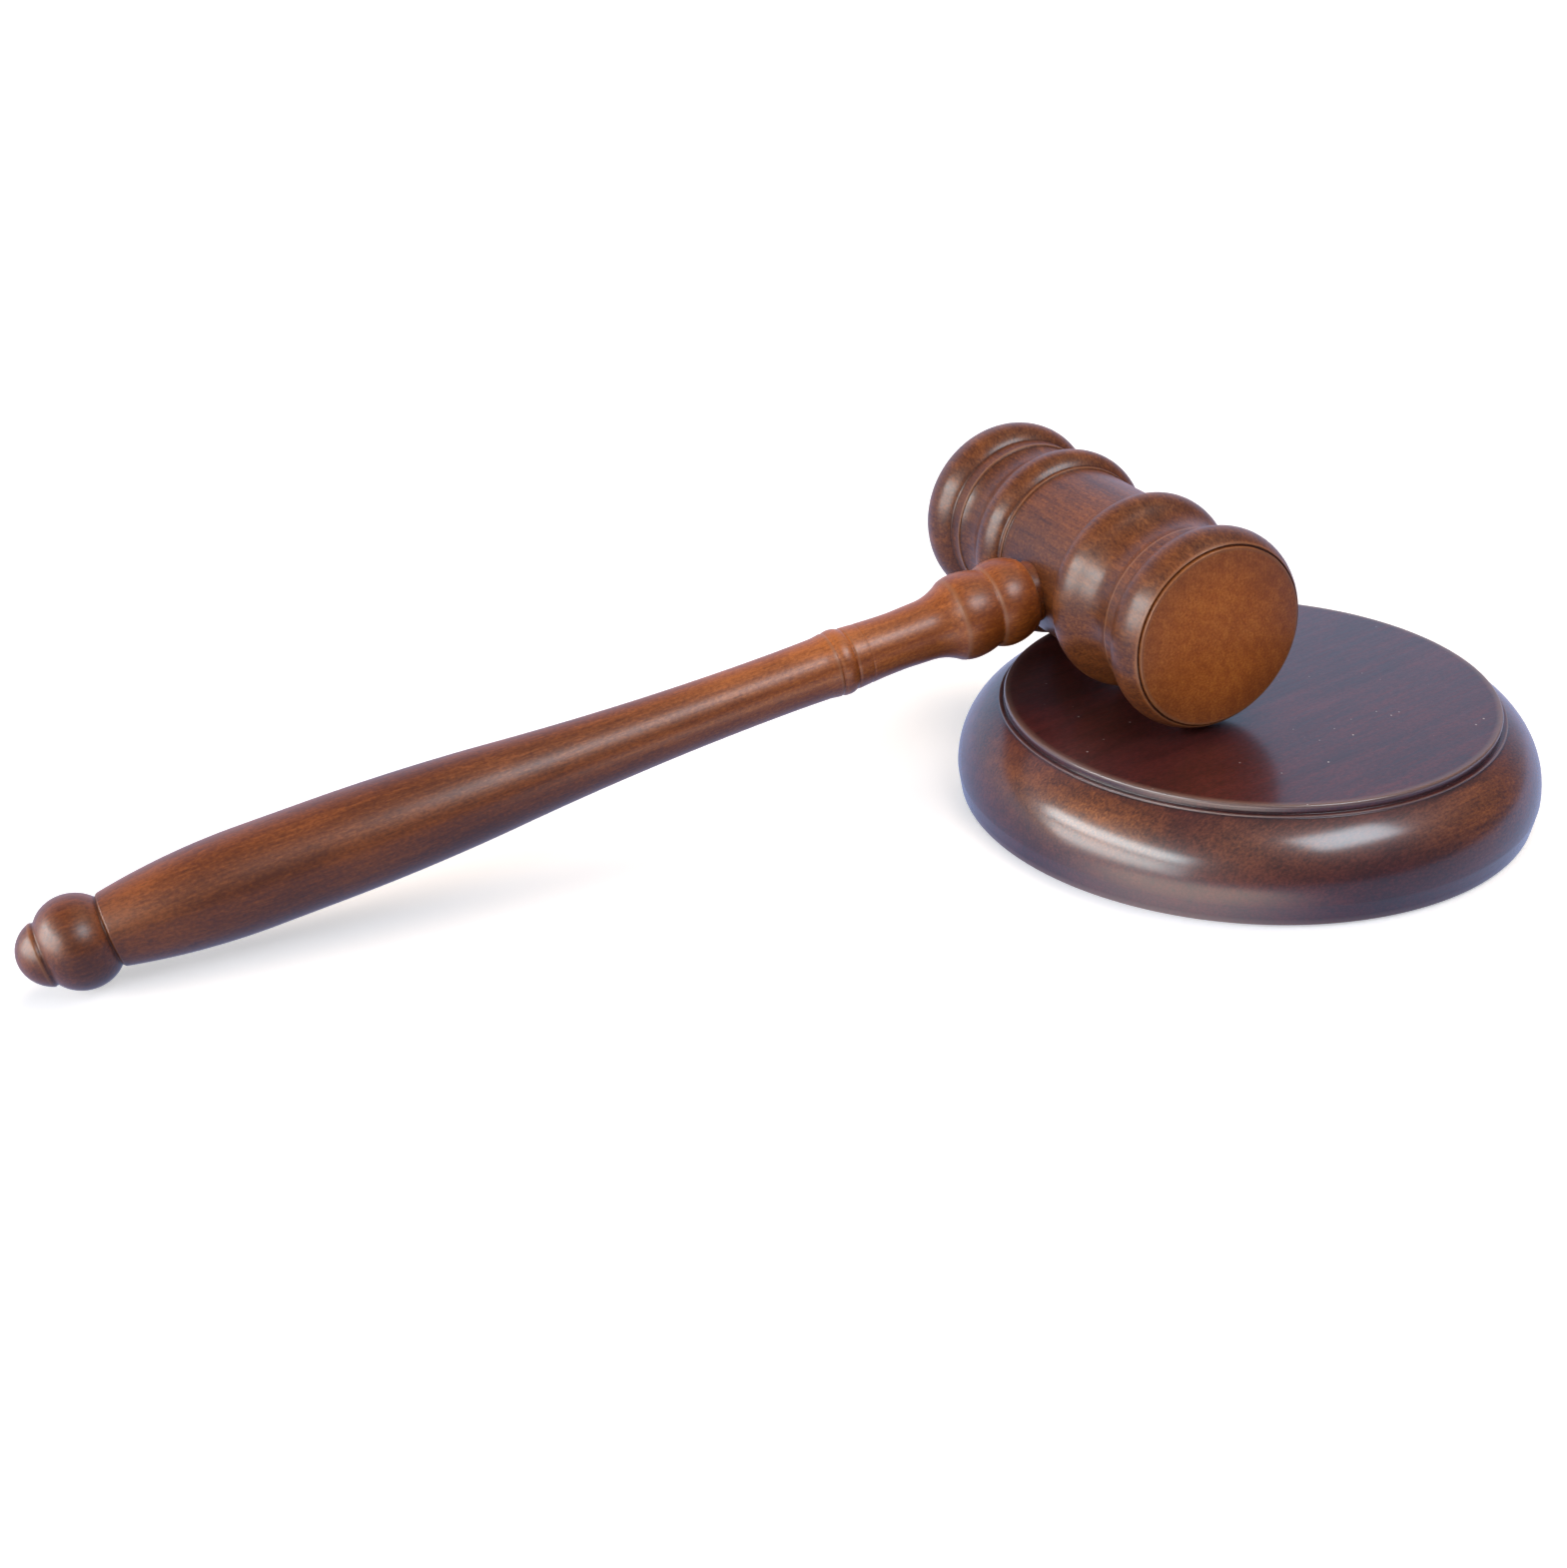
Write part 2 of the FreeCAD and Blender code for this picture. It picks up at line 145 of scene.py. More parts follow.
def turned(name, stations, ease, columns, centre, axis, across, lighter_tone_share, crest_lines=(), patches=((0.0, 1.0),)):
    """A lathe-turned piece, closed at both ends on its axis.

    Point(u, t) = centre + axis x along(u) + radius(u) x (across x cos t + third x sin t), where third is
    square to axis and across, u runs down the eased profile and t once round in the given columns. The
    share of lighter tone is a table of places along the axis and of how much of the lighter tones lies there,
    from 0 to 1: painted light on the head's faces, and painted shade where it is lowered at the handle's ball.
    patches is a table of degrees of t and of the share of it that holds there. The crest lines are lines round
    the piece, as (place, half width, strength), added to the crest: raised, they give painted highlight lines
    in the paler tone, and lowered, a darker line.
    """
    along, radius, crest = eased(profile_line(stations), ease)
    for place, half_width, strength in crest_lines:
        crest = crest + strength * np.clip(1 - np.abs(along - place) / half_width, 0, 1)
    third = np.cross(axis, across)
    angle = np.linspace(0, 2 * math.pi, columns, endpoint=False)
    spoke = np.cos(angle)[:, None] * across + np.sin(angle)[:, None] * third
    rings = along[1:-1, None, None] * axis + radius[1:-1, None, None] * spoke
    poles = along[[0, -1], None] * axis
    points = np.vstack([poles[:1], rings.reshape(-1, 3), poles[1:]]) * MM + centre
    grid = 1 + np.arange(rings.shape[0] * columns).reshape(-1, columns)
    beside = np.roll(grid, -1, axis=1)
    quads = np.stack([grid[:-1], grid[1:], beside[1:], beside[:-1]], axis=-1).reshape(-1, 4)
    last = len(points) - 1
    caps = np.vstack([
        np.stack([np.zeros(columns, int), grid[0], beside[0]], axis=-1),
        np.stack([np.full(columns, last), beside[-1], grid[-1]], axis=-1),
    ])
    mesh = bpy.data.meshes.new(name)
    mesh.from_pydata(points.tolist(), [], quads.tolist() + caps.tolist())
    a, b, c = points[quads[:, 0]], points[quads[:, 1]], points[quads[:, 2]]
    if np.einsum("ij,ij->i", a - centre, np.cross(b - a, c - a)).sum() < 0:
        mesh.flip_normals()
    mesh.shade_smooth()
    even = np.ones(columns)
    patchy = np.interp(np.degrees(angle), *zip(*patches), period=360)
    for label, row, share in (("crest", crest, even), ("lighter_tone_share", np.interp(along, *zip(*lighter_tone_share)), patchy)):
        spread = np.concatenate([row[:1], np.outer(row[1:-1], share).ravel(), row[-1:]])
        field = mesh.attributes.new(label, "FLOAT", "POINT")
        field.data.foreach_set("value", spread.astype(np.float32))
    piece = bpy.data.objects.new(name, mesh)
    bpy.context.collection.objects.link(piece)
    return piece


def linear(code):
    """An sRGB hex colour as linear red, green, blue and alpha."""
    parts = np.array([int(code[k:k + 2], 16) for k in (1, 3, 5)]) / 255
    parts = np.where(parts <= 0.04045, parts / 12.92, ((parts + 0.055) / 1.055) ** 2.4)
    return (*parts.tolist(), 1.0)


def blank_material(name):
    """A new material and its node tree, with no node in it."""
    material = bpy.data.materials.new(name)
    material.use_nodes = True
    material.node_tree.nodes.clear()
    return material, material.node_tree


def add(tree, kind, inputs=None, **settings):
    """Add a node to the tree with its settings. An input is a plain value or another node's output."""
    node = tree.nodes.new(kind)
    for key, value in settings.items():
        setattr(node, key, value)
    for key, value in (inputs or {}).items():
        if isinstance(value, bpy.types.NodeSocket):
            tree.links.new(value, node.inputs[key])
        else:
            node.inputs[key].default_value = value
    return node


def lacquered_wood(name, tones, lighter_tones, highlight_and_wear_tone, pore_tone, turn, place, sheen, coat, coat_gloss,
                   ripple_depth, drunk=0.0, dust=0.0):
    """Close-grained hardwood, spirit-stained and sprayed with satin lacquer.

    To the eye: deep colour that runs in faint streaks along the grain, short dark pores, a darker tone a
    little in the hollows, and on the edges a paler tone that is partly wear and partly painted highlight,
    under a soft gloss that breaks up over the grain.
    turn and place, in metres, lay the grain along X with the pith on that axis. tones are the stain's dark,
    middle and light, and the second tones are the lighter ones that the piece's share of lighter tone brings
    in, which is painted light on the head's faces and is lowered as painted shade at the handle's ball. sheen
    is the gloss of the wood itself. coat is the lacquer's weight, coat_gloss its roughness and ripple_depth how
    deep it ripples. drunk is the share of the lacquer that the wood drinks where the lighter tones lie, and
    dust is how pale the few specks are that lie on a level top.
    """
    material, tree = blank_material(name)
    grain = add(tree, "ShaderNodeMapping", {
        "Vector": add(tree, "ShaderNodeTexCoord").outputs["Object"], "Rotation": turn,
        "Location": place}).outputs[0]

    # Noise drawn out along the grain. Real fibres are 0.1 mm wide and would not show, so they are drawn 0.4 mm
    # wide and 6 mm long, and pores 0.3 mm wide and 3 mm long. The stain takes unevenly from pore to pore, in
    # specks about 0.5 mm across.
    patterns = []
    for long, wide, detail, roughness, distortion in (
            (6.0, 0.4, 4.0, 0.65, 0.0),  # fibres
            (0.7, 0.4, 2.0, 0.6, 0.0),  # specks
            (40.0, 2.0, 3.0, 0.5, 0.4),  # streaks
            (20.0, 12.0, 2.0, 0.5, 0.0),  # clouds
            (3.0, 0.3, 1.0, 0.5, 0.0)):  # pores
        long, wide = long * MM, wide * MM
        stretched = add(tree, "ShaderNodeMapping", {"Vector": grain, "Scale": (1 / long, 1 / wide, 1 / wide)})
        patterns.append(add(tree, "ShaderNodeTexNoise", {
            "Vector": stretched.outputs[0], "Scale": 1.0, "Detail": detail, "Roughness": roughness,
            "Distortion": distortion}).outputs["Fac"])
    fibres, specks, streaks, clouds, pores = patterns
    # Growth rings 2.6 mm apart. A wave's period is 2 pi / 20 at scale 1.
    rings = add(tree, "ShaderNodeTexWave", {
        "Vector": grain, "Scale": math.tau / 20 / (2.6 * MM), "Distortion": 3.0, "Detail": 2.0,
        "Detail Scale": 0.4}, wave_type="RINGS", rings_direction="X").outputs["Fac"]
    # Each pattern lies about one half, so this start brings their sum to the middle tone.
    parts = ((fibres, 0.52), (specks, 0.56), (streaks, 0.34), (clouds, 0.36), (rings, 0.04))
    tone = 0.5 - sum(weight for _, weight in parts) / 2
    for part, weight in parts:
        tone = add(tree, "ShaderNodeMath", {
            0: part, 1: weight, 2: tone}, operation="MULTIPLY_ADD").outputs[0]
    stains = []
    for codes in (tones, lighter_tones):
        ramp = add(tree, "ShaderNodeValToRGB", {"Fac": tone})
        ramp.color_ramp.elements.new(0.5)
        for element, where, code in zip(ramp.color_ramp.elements, (0.34, 0.50, 0.66), codes):
            element.position = where
            element.color = linear(code)
        stains.append(ramp.outputs["Color"])

    lighter_tone_share, crest = (add(tree, "ShaderNodeAttribute", attribute_name=label).outputs["Fac"]
                   for label in ("lighter_tone_share", "crest"))
    # Specks of dust 0.4 mm across, one to a 2.8 mm cell at most, where the surface faces up.
    cells = add(tree, "ShaderNodeTexVoronoi", {"Vector": grain, "Scale": 1 / (2.8 * MM)})
    lot = add(tree, "ShaderNodeSeparateXYZ", {"Vector": cells.outputs["Color"]}).outputs["X"]
    facing = add(tree, "ShaderNodeSeparateXYZ", {
        "Vector": add(tree, "ShaderNodeNewGeometry").outputs["Normal"]}).outputs["Z"]
    shares = []
    for value, low, high, bottom, top in (
            (pores, 0.62, 0.76, 0.0, 0.35),
            (crest, -0.3, -1.0, 0.0, 0.45),
            # Painted highlight, partly wear: crests and the raised crest lines turn to the paler tone.
            (crest, 0.3, 1.0, 0.0, 0.6),
            (cells.outputs["Distance"], 0.075, 0.04, 0.0, dust),
            (facing, 0.9, 0.98, 0.0, 1.0),
            (lot, 0.4, 1.0, 0.0, 1.0),
            (fibres, 0.3, 0.7, 0.42, 0.54)):
        shares.append(add(tree, "ShaderNodeMapRange", {
            "Value": value, "From Min": low, "From Max": high, "To Min": bottom, "To Max": top}).outputs[0])
    pore, hollow, highlight_and_wear, mote, level, picked, matt = shares
    for share in (level, picked):
        mote = add(tree, "ShaderNodeMath", {0: mote, 1: share}, operation="MULTIPLY").outputs[0]

    colour = stains[0]
    for share, over in ((lighter_tone_share, stains[1]), (pore, linear(pore_tone)), (hollow, linear(pore_tone)),
                        (highlight_and_wear, linear(highlight_and_wear_tone)), (mote, linear("#c9c4c6"))):
        colour = add(tree, "ShaderNodeMix", {
            "Factor": share, "A": colour, "B": over}, data_type="RGBA").outputs["Result"]

    # The lacquer lies in a fine ripple, 1 mm across, over the grain.
    ripple = add(tree, "ShaderNodeTexNoise", {"Vector": grain, "Scale": 1 / MM, "Detail": 3.0}).outputs["Fac"]
    height = add(tree, "ShaderNodeMath", {0: fibres, 1: 0.5, 2: ripple}, operation="MULTIPLY_ADD").outputs[0]
    bump = add(tree, "ShaderNodeBump", {"Strength": 1.0, "Distance": ripple_depth * MM, "Height": height})
    if drunk:
        coat = add(tree, "ShaderNodeMapRange", {
            "Value": lighter_tone_share, "To Min": coat, "To Max": coat * (1 - drunk)}).outputs[0]
    shader = add(tree, "ShaderNodeBsdfPrincipled", {
        "Base Color": colour, "Roughness": matt, "IOR": 1.5, "Specular IOR Level": sheen, "Coat Weight": coat,
        "Coat Roughness": coat_gloss, "Coat IOR": 1.5, "Normal": bump.outputs["Normal"]})
    add(tree, "ShaderNodeOutputMaterial", {"Surface": shader.outputs["BSDF"]})
    return material


# The rim takes the lighter tones, most of all at its shoulder, in patches round it. The line along the
# platform's arris is a painted highlight in the paler tone.
UP = np.array([0.0, 0.0, 1.0])
ACROSS = np.array([1.0, 0.0, 0.0])
sound_block = turned(
    "sound_block_turning", block_stations, ease=0.14, columns=200, centre=np.zeros(3), axis=UP, across=ACROSS,
    lighter_tone_share=[(4.0, 0.0), (9.0, 0.4), (13.5, 1.0), (15.8, 0.6), (WALL_FOOT, 0.0)],
    crest_lines=[(BLOCK_TOP - 0.3, 0.22, 0.8)],
    patches=[(15, 0.3), (35, 0.9), (70, 0.3), (100, 0.8), (135, 0.2), (165, 0.3), (180, 0.5), (197, 1.0),
             (212, 0.8), (222, 0.2), (233, 0.45), (245, 0.3), (262, 0.1), (278, 0.6), (288, 1.0), (300, 0.6),
             (320, 0.2)])
# The blank is cut from a board, so its grain lies flat, nearly along X, and the pith is well below it.
sound_block.data.materials.append(lacquered_wood(
    "stained_cherry_dark", tones=("#2c0c0f", "#3e1416", "#511f1f"),
    lighter_tones=("#532b12", "#7b451d", "#9c5d2a"), highlight_and_wear_tone="#7e6862", pore_tone="#0e0606",
    turn=(0.0, 0.0, math.radians(-12)), place=(0.0, 0.0, 0.06), sheen=0.35, coat=1.0, coat_gloss=0.20,
    ripple_depth=0.010, dust=0.8))
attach(sound_block, "block")
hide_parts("sound_block")

# The felt is a thin disc of pressed wool, cut a little smaller than the recess and glued into it, so that the
# wood stands just clear of the table.

FELT_RADIUS = 40.0
FELT_THICK = 1.5
felt_stations = [
    (0.0, 0.0, "line"),
    (0.0, FELT_RADIUS, "line"),
    (FELT_THICK, FELT_RADIUS, "line"),
    (FELT_THICK, 0.0, "end"),
]
felt = turned("felt_disc", felt_stations, ease=0.3, columns=160, centre=np.zeros(3), axis=UP, across=ACROSS,
              lighter_tone_share=[(0.0, 0.0)])

# Pressed wool felt: matt, with a soft sheen of loose hairs and a fleck of lighter fibres, no gloss at all. Its
# hairs are finer than 0.1 mm and are drawn in tufts of 0.6 mm.
wool, tree = blank_material("pressed_wool_felt")
hairs = add(tree, "ShaderNodeTexNoise", {
    "Vector": add(tree, "ShaderNodeTexCoord").outputs["Object"], "Scale": 1 / (0.6 * MM), "Detail": 4.0,
    "Roughness": 0.7, "Distortion": 1.2}).outputs["Fac"]
fleck = add(tree, "ShaderNodeValToRGB", {"Fac": hairs})
for element, (where, code) in zip(fleck.color_ramp.elements, ((0.35, "#15201a"), (0.7, "#2c3d33"))):
    element.position = where
    element.color = linear(code)
nap = add(tree, "ShaderNodeBump", {"Strength": 0.8, "Distance": 0.2 * MM, "Height": hairs})
cloth = add(tree, "ShaderNodeBsdfPrincipled", {
    "Base Color": fleck.outputs["Color"], "Roughness": 0.95, "Sheen Weight": 0.4, "Sheen Roughness": 0.5,
    "Specular IOR Level": 0.2, "Normal": nap.outputs["Normal"]})
add(tree, "ShaderNodeOutputMaterial", {"Surface": cloth.outputs["BSDF"]})
felt.data.materials.append(wool)
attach(felt, "block")
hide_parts("felt_pad")

# The gavel's head is turned between centres from one billet: a plain barrel, then on each side a large bead, a
# cove, a fillet and a bullnose end ring, and a striking face that a fine groove sets off. Its grain runs
# through it from face to face, so the faces are end grain.

BARREL_RADIUS = 15.3
half_head_stations = [
    (0.0, BARREL_RADIUS, "line"),  # barrel
    (9.7, BARREL_RADIUS, "line"),
    (9.7, 15.65, "line"),  # large bead, on a small step
    (10.5, 15.65, "level last"),
    (14.0, 17.75, "level first"),
    (17.696, 16.385, "level last"),  # cove
    (22.8, 14.5, "level first"),
    (26.3, 15.2, "line"),  # fillet
    (26.3, 15.5, "line"),
    (29.3, 15.5, "level last"),  # end ring
    (33.4, 17.75, "level first"),
    (37.9, 16.1, "line"),  # groove
    (37.4, 16.1, "line"),
    (37.4, 15.75, "line"),
    (38.3, 15.75, "square last"),  # domed face
    (39.5, 0.0, "end"),
]


def both_ends(half):
    """The half profile and its mirror image, as stations from one face to the other."""
    swap = {"line": "line", "level first": "level last", "level last": "level first",
            "square last": "square first"}
    curves = [swap[curve] for _, _, curve in half[:-1]]
    mirrored = [(-along, radius, curve) for (along, radius, _), curve in zip(half[:0:-1], curves[::-1])]
    return mirrored + half


low, high = (np.array(corner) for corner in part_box("gavel_head"))
head_centre = (low + high) / 2
ALONG_HEAD = np.array([0.0, 1.0, 0.0])
# The two striking faces take the lighter tones, painted light that sets them lighter than the barrel, and
# less lacquer, where the end grain drinks it. The lines at the bead steps, the fillets and the faces' grooves
# are painted highlights in the paler tone.
head = turned(
    "head_turning", both_ends(half_head_stations), ease=0.30, columns=144, centre=head_centre, axis=ALONG_HEAD,
    across=ACROSS,
    lighter_tone_share=[(-39.2, 1.0), (-38.3, 0.5), (-37.0, 0.0), (37.0, 0.0), (38.3, 0.5), (39.2, 1.0)],
    crest_lines=[(side * along, 0.4, 0.8) for side in (-1, 1) for along in (9.9, 26.5, 37.8)])
head.data.materials.append(lacquered_wood(
    "stained_beech_brown", tones=("#4a240f", "#663717", "#834b23"),
    lighter_tones=("#9a511c", "#b06125", "#c47231"), highlight_and_wear_tone="#8e6040", pore_tone="#2a1208",
    turn=(0.0, 0.0, math.radians(-90)), place=(0.0, -0.03, -0.02), sheen=0.2, coat=0.62, coat_gloss=0.27,
    ripple_depth=0.035, drunk=0.75))
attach(head, "gavel")
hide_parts("gavel_head")

# The handle is turned between centres from one rod: two beads at the head, a flared cove, a slim shaft with a
# small ring, a long swelling grip, and a ball and button at the end. A tenon behind the shoulder is glued into
# the head.

TENON_END, TENON_RADIUS, TENON_BEVEL = -4.0, 4.75, 0.6
NECK_RADIUS = 5.6
SEAT_GAP = 0.15
SEAT_CUT = 0.3
SHOULDER = math.sqrt(BARREL_RADIUS ** 2 - (NECK_RADIUS + SEAT_GAP) ** 2) - SEAT_CUT
BALL_CREST, BALL_RADIUS = 184.8, 7.7
BALL_END, BALL_END_RADIUS = 189.2, 5.8
REST_GAP = 0.05
handle_stations = [
    (TENON_END, 0.0, "line"),  # tenon
    (TENON_END, TENON_RADIUS - TENON_BEVEL, "line"),
    (TENON_END + TENON_BEVEL, TENON_RADIUS, "line"),
    (SHOULDER, TENON_RADIUS, "line"),  # shoulder and neck
    (SHOULDER, NECK_RADIUS, "line"),
    (16.4, NECK_RADIUS, "line"),  # first bead
    (16.4, 6.6, "level last"),
    (21.2, 7.95, "level first"),
    (23.8, 7.35, "line"),  # crease, then the second bead
    (24.2, 7.05, "level last"),
    (28.6, 7.85, "level first"),
    (31.3, 7.35, "level last"),  # flared cove
    (37.5, 5.4, "line"),  # slim neck of the shaft
    (42.0, 5.2, "level first"),
    (49.1, 5.43, "line"),  # small ring, with a cut line before it and one on either side
    (49.25, 5.31, "line"),
    (49.4, 5.43, "line"),
    (51.9, 5.6, "line"),
    (52.15, 5.4, "line"),
    (52.4, 5.6, "level last"),
    (53.8, 5.95, "level first"),
    (54.9, 5.78, "line"),
    (55.15, 5.58, "line"),
    (55.4, 5.78, "line"),
    (57.2, 5.52, "level last"),  # shaft, swelling into the grip
    (67.0, 5.38, "level first"),
    (115.19, 7.2832, "level last"),
    (146.0, 8.5, "line"),
    (157.0, 8.5, "level first"),
    (179.85, 6.1, "line"),  # crease
    (180.15, 5.6, "level last"),  # ball
    (BALL_CREST, BALL_RADIUS, "level first"),
    (BALL_END, BALL_END_RADIUS, "line"),  # crease and button
    (BALL_END + 0.55, 5.1, "line"),
    (BALL_END + 1.1, 5.3, "square last"),
    (194.0, 0.0, "end"),
]

# The ball lies on the table: the circle of its profile, carried round the head's axis, comes down to the table.
drop = BALL_RADIUS - BALL_END_RADIUS
ball_round = ((BALL_END - BALL_CREST) ** 2 + drop ** 2) / (2 * drop)
core = BALL_RADIUS - ball_round
fall = head_centre[2] / MM - ball_round - REST_GAP
tilt = math.asin(fall / math.hypot(BALL_CREST, core)) - math.atan(core / BALL_CREST)
down_handle = np.array([-math.cos(tilt), 0.0, -math.sin(tilt)])
# The lighter tones lie on the shaft and at the end of the grip, and are lowered at the ball as painted
# shade. The beads' edges, the small ring and the button take painted highlight lines, and the crease before
# the ball is darker.
handle = turned(
    "handle_turning", handle_stations, ease=0.36, columns=96, centre=head_centre, axis=down_handle,
    across=ALONG_HEAD, lighter_tone_share=[(60.0, 1.0), (110.0, 0.3), (150.0, 0.3), (174.0, 0.4), (182.0, 0.2)],
    crest_lines=[(24.0, 0.6, 1.6), (31.3, 0.8, 0.9), (52.1, 0.5, 0.7), (55.2, 0.6, 1.0), (179.6, 0.5, -0.7),
          (189.8, 0.9, 0.3)])
handle_turn = Matrix.Rotation(tilt, 4, "Y")
handle_place = -(handle_turn.to_3x3() @ Vector(head_centre))
handle.data.materials.append(lacquered_wood(
    "stained_beech_orange", tones=("#3e1a08", "#57290e", "#713917"),
    lighter_tones=("#77390d", "#924e18", "#af6427"), highlight_and_wear_tone="#93603c", pore_tone="#301408",
    turn=tuple(handle_turn.to_euler()), place=tuple(handle_place), sheen=0.2, coat=0.8, coat_gloss=0.35,
    ripple_depth=0.060))
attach(handle, "gavel")
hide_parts("gavel_handle")

# The table is plain, out to well past the picture. The camera sees it white, with the set's shadow on it. A
# reflection sees it glow pale blue, with a painted patch of light on it that glows warm. The light that it
# throws back at the set's undersides is that of a slate table.

TABLE_REACH = 6.0
TABLE_LIFT = 0.46
LIFT_FROM, LIFT_TO = 0.12, 0.5
PAINTED_PATCH_PLACE = (-0.066, -0.060, 0.0)
PAINTED_PATCH_EDGE, PAINTED_PATCH_CORE = 0.055, 0.02
PAINTED_PATCH_LEVEL = 3.2
table_mesh = bpy.data.meshes.new("table")
corners = TABLE_REACH * np.array([(-1, -1, 0), (1, -1, 0), (1, 1, 0), (-1, 1, 0)])
table_mesh.from_pydata(corners.tolist(), [], [(0, 1, 2, 3)])
table = bpy.data.objects.new("table", table_mesh)
bpy.context.collection.objects.link(table)
paper, tree = blank_material("matt_white_paper")
sight = add(tree, "ShaderNodeLightPath")
by_eye = sight.outputs["Is Camera Ray"]
seen = by_eye
for ray in ("Is Glossy Ray", "Is Transmission Ray"):
    seen = add(tree, "ShaderNodeMath", {0: seen, 1: sight.outputs[ray]}, operation="MAXIMUM").outputs[0]
where = add(tree, "ShaderNodeTexCoord").outputs["Object"]
# A painted patch of light glows warm on the table, left of the block and in front, for reflections alone.
# It shows as a painted reflection in the rim above.
painted_light_patch = add(tree, "ShaderNodeMapRange", {
    "Value": add(tree, "ShaderNodeVectorMath", {
        0: where, 1: PAINTED_PATCH_PLACE}, operation="DISTANCE").outputs["Value"],
    "From Min": PAINTED_PATCH_EDGE, "From Max": PAINTED_PATCH_CORE, "To Min": 0.0, "To Max": 1.0},
    interpolation_type="SMOOTHSTEP").outputs[0]
# The light falls off past the set, so the lift grows outwards, to where the table is white by itself.
reach = add(tree, "ShaderNodeVectorMath", {0: where}, operation="LENGTH").outputs["Value"]
mirrored = add(tree, "ShaderNodeMapRange", {
    "Value": painted_light_patch, "To Min": 1.0, "To Max": PAINTED_PATCH_LEVEL}).outputs[0]
near = add(tree, "ShaderNodeMix", {"Factor": by_eye, "A": mirrored, "B": TABLE_LIFT}).outputs["Result"]
far = add(tree, "ShaderNodeMapRange", {
    "Value": reach, "From Min": LIFT_FROM, "From Max": LIFT_TO, "To Min": near, "To Max": 1.0},
    interpolation_type="SMOOTHSTEP").outputs[0]
slate_or_white = add(tree, "ShaderNodeMix", {
    "Factor": by_eye, "A": linear("#75809c"), "B": linear("#e0e7f4")}, data_type="RGBA").outputs["Result"]
white = add(tree, "ShaderNodeBsdfDiffuse", {"Color": slate_or_white})
blue_or_painted_patch = add(tree, "ShaderNodeMix", {
    "Factor": painted_light_patch, "A": linear("#9aabd8"), "B": linear("#fff4ea")}, data_type="RGBA").outputs["Result"]
blue_or_white = add(tree, "ShaderNodeMix", {
    "Factor": by_eye, "A": blue_or_painted_patch, "B": linear("#ffffff")}, data_type="RGBA").outputs["Result"]
lift = add(tree, "ShaderNodeEmission", {
    "Color": blue_or_white,
    "Strength": add(tree, "ShaderNodeMath", {0: seen, 1: far}, operation="MULTIPLY").outputs[0]})
both = add(tree, "ShaderNodeAddShader", {0: white.outputs[0], 1: lift.outputs[0]})
add(tree, "ShaderNodeOutputMaterial", {"Surface": both.outputs[0]})
table_mesh.materials.append(paper)

# The room: an even dim light all round and white to the camera. A reflection sees pale blue daylight low at
# the back of the room, and dusk overhead and behind the camera.

ROOM_LEVEL = 0.16
DUSK, DAYLIGHT = 0.15, 1.0
BACK_AND_LOW = (0.0, 1.0, -0.6)
world = bpy.data.worlds.new("pale_room")
bpy.context.scene.world = world
world.use_nodes = True
tree = world.node_tree
tree.nodes.clear()
sight = add(tree, "ShaderNodeLightPath")
mirrored = add(tree, "ShaderNodeMath", {
    0: sight.outputs["Is Glossy Ray"], 1: sight.outputs["Is Transmission Ray"]}, operation="MAXIMUM").outputs[0]
back_low = add(tree, "ShaderNodeVectorMath", {
    0: add(tree, "ShaderNodeTexCoord").outputs["Generated"], 1: BACK_AND_LOW},
    operation="DOT_PRODUCT").outputs["Value"]
daylight = add(tree, "ShaderNodeMapRange", {
    "Value": back_low, "From Min": -0.1, "From Max": 0.5, "To Min": DUSK, "To Max": DAYLIGHT}).outputs[0]
even = add(tree, "ShaderNodeBackground", {"Color": linear("#dfe6f5"), "Strength": ROOM_LEVEL})
sky = add(tree, "ShaderNodeBackground", {"Color": linear("#c0d9ff"), "Strength": daylight})
white = add(tree, "ShaderNodeBackground", {"Color": linear("#ffffff"), "Strength": 1.0})
air = add(tree, "ShaderNodeMixShader", {0: mirrored, 1: even.outputs[0], 2: sky.outputs[0]})
air = add(tree, "ShaderNodeMixShader", {
    0: sight.outputs["Is Camera Ray"], 1: air.outputs[0], 2: white.outputs[0]})
add(tree, "ShaderNodeOutputWorld", {"Surface": air.outputs[0]})

# Soft lights: a window to the left in two rows of panes, a softbox high behind the camera, a broad fill low on
# its left and the glow of the ceiling from the back. The lacquer mirrors the window and the glints alone. A
# glint lies over a light and only shows in reflections, so it lifts the lacquer's highlights and leaves the
# level of the light as it is.

AIM = np.array([0.0, 0.0, 0.03])


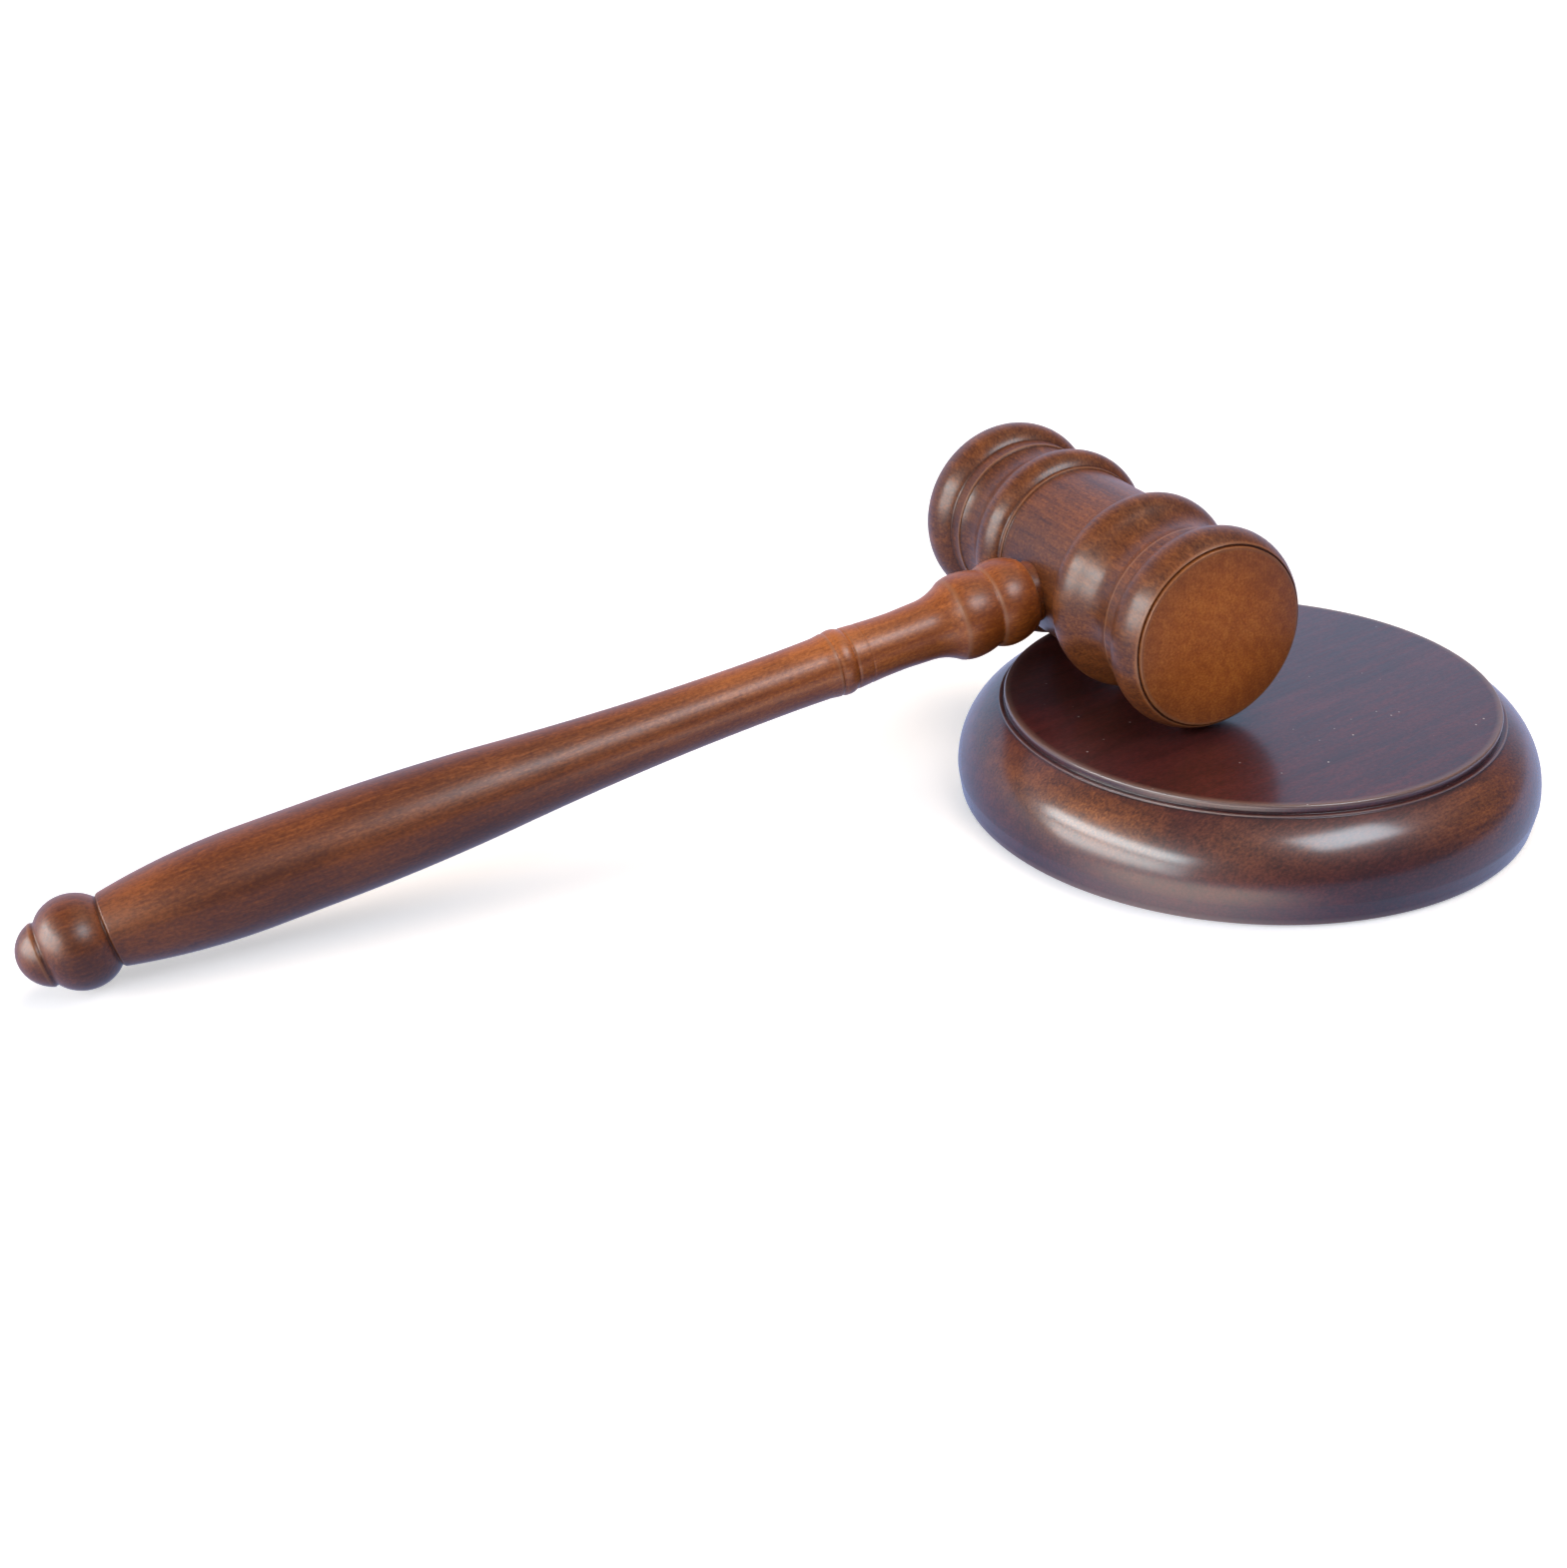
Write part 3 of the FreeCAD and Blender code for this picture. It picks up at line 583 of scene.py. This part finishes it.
def soft_light(name, azimuth, elevation, distance, size, brightness, colour, diffuse=True, glossy=True):
    """Rectangular soft light that faces the set from an azimuth, clockwise from +Y, and an elevation.

    Its power is its brightness times pi times its area. Without diffuse it shows in reflections alone, and
    without glossy it lights the set and shows in none.
    """
    lamp = bpy.data.lights.new(name, "AREA")
    lamp.shape = "RECTANGLE"
    lamp.size, lamp.size_y = size
    lamp.energy = brightness * math.pi * size[0] * size[1]
    lamp.color = linear(colour)[:3]
    level = math.cos(math.radians(elevation))
    toward = np.array([math.sin(math.radians(azimuth)) * level, math.cos(math.radians(azimuth)) * level,
                       math.sin(math.radians(elevation))])
    side = np.cross(UP, toward)
    side /= np.linalg.norm(side)
    turn = np.stack([side, np.cross(toward, side), toward], axis=1)
    holder = bpy.data.objects.new(name, lamp)
    holder.matrix_world = Matrix.Translation(distance * toward + AIM) @ Matrix(turn).to_4x4()
    holder.visible_camera = False
    holder.visible_diffuse = diffuse
    holder.visible_glossy = glossy
    bpy.context.collection.objects.link(holder)


soft_light("window_upper", -92, 25, 1.80, (1.90, 0.30), 8.0, "#fffaf2")
soft_light("window_lower", -90, 9, 1.80, (1.80, 0.36), 5.0, "#fff8f0")
soft_light("softbox_high", 158, 55, 0.90, (0.70, 0.40), 2.6, "#fff8f0", glossy=False)
soft_light("low_fill", -128, 10, 2.00, (1.80, 1.00), 1.6, "#fff6ee", glossy=False)
soft_light("ceiling", 60, 65, 0.90, (1.00, 0.80), 4.0, "#ffe0c0", glossy=False)
soft_light("window_upper_glint", -95, 25, 1.76, (2.00, 0.36), 8.0, "#dcf4ff", diffuse=False)
soft_light("window_lower_glint", -98, 8, 1.76, (1.80, 0.50), 4.6, "#eef8ff", diffuse=False)
soft_light("softbox_glint", 160, 52, 0.88, (0.48, 0.30), 11.5, "#e4f4ff", diffuse=False)

# The camera stands where the photograph was taken from. Its place and turn were worked out from the outlines
# of the block, the head and the handle, in pixels of a picture 1569 wide and 1570 high.

PICTURE = (1569, 1570)
FOCAL = 1818.09
CENTRE_PIXEL = (895.41, 871.23)
FILM = 36.0
eye = np.array([-187.03, -242.44, 156.19]) * MM
right = np.array([0.8987415, -0.4381871, -0.0159908])
above = np.array([0.2329211, 0.4461982, 0.8640920])
view = np.array([0.3714989, 0.7803199, -0.5030799])
lens = bpy.data.cameras.new("camera")
lens.sensor_fit = "HORIZONTAL"
lens.sensor_width = FILM
lens.lens = FILM * FOCAL / PICTURE[0]
lens.shift_x = (PICTURE[0] / 2 - CENTRE_PIXEL[0]) / PICTURE[0]
lens.shift_y = (CENTRE_PIXEL[1] - PICTURE[1] / 2) / PICTURE[0]
camera = bpy.data.objects.new("camera", lens)
camera.matrix_world = Matrix.Translation(eye) @ Matrix(np.stack([right, above, -view], axis=1)).to_4x4()
bpy.context.collection.objects.link(camera)
bpy.context.scene.camera = camera
bpy.context.scene.view_settings.view_transform = "Standard"
